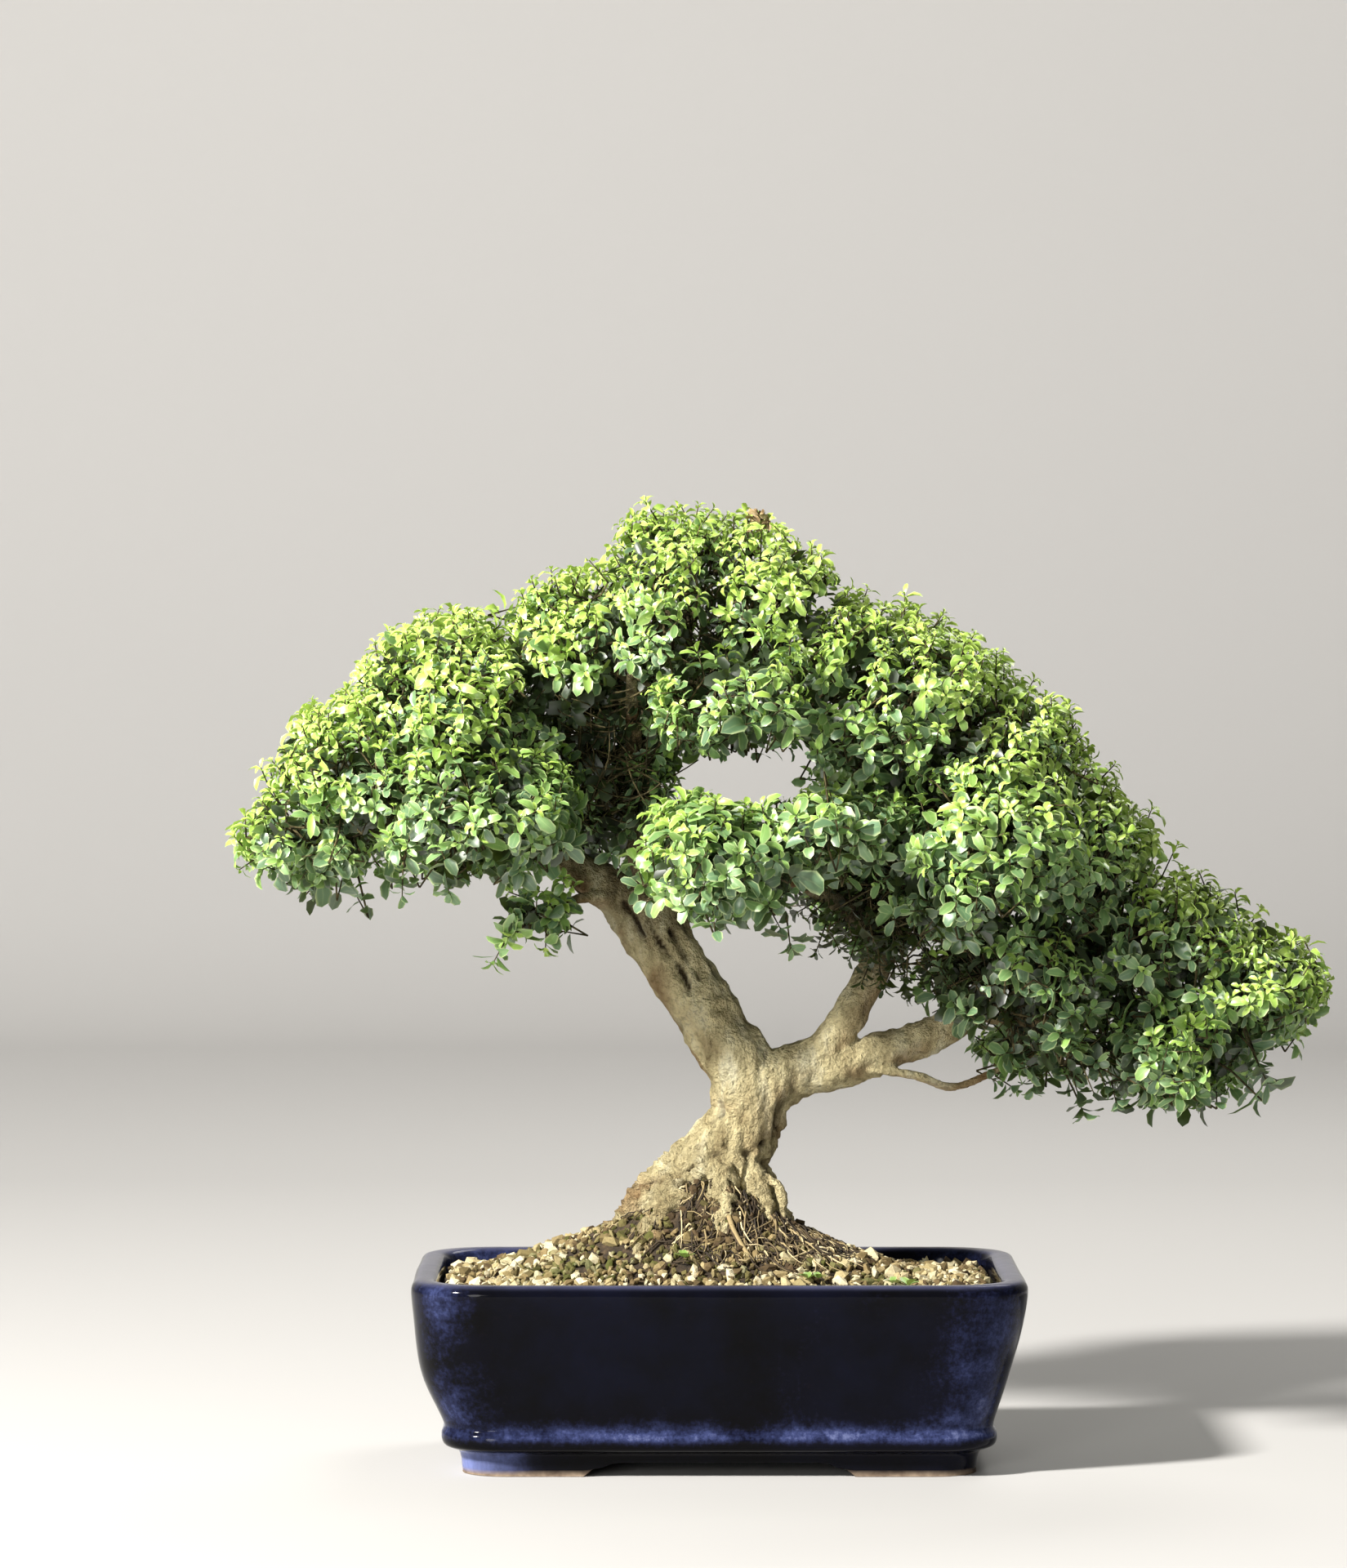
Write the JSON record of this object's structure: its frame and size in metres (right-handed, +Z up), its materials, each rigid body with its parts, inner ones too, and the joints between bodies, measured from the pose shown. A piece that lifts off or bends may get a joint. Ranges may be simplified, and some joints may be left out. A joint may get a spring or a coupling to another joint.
{
  "type": "bonsai tree in pot",
  "caption": "Bonsai tree with a forked trunk and a spreading crown of small leaves, planted in a footed rectangular glazed pot.",
  "frame": {"origin": "middle of the whole footprint's bounding box, at the bottom of the pot's feet", "axes": "+X to the right as the picture shows it, along the crown's longest reach; -Y towards the viewer; +Z up"},
  "size_m": [0.359, 0.2112, 0.3098],
  "materials": {
    "glaze": "gloss",
    "screen": "matte",
    "soil": "matte",
    "bark": "matte",
    "leaf": "satin"
  },
  "bodies": {
    "root": {"pot": "glaze", "drain_screen_left": "screen", "drain_screen_right": "screen", "soil": "soil", "trunk": "bark", "foliage_left": "leaf", "foliage_crown": "leaf", "foliage_right": "leaf", "foliage_right_tip": "leaf", "foliage_front": "leaf", "foliage_centre": "leaf", "foliage_back": "leaf", "foliage_tuft": "leaf"}
  },
  "joints": []
}
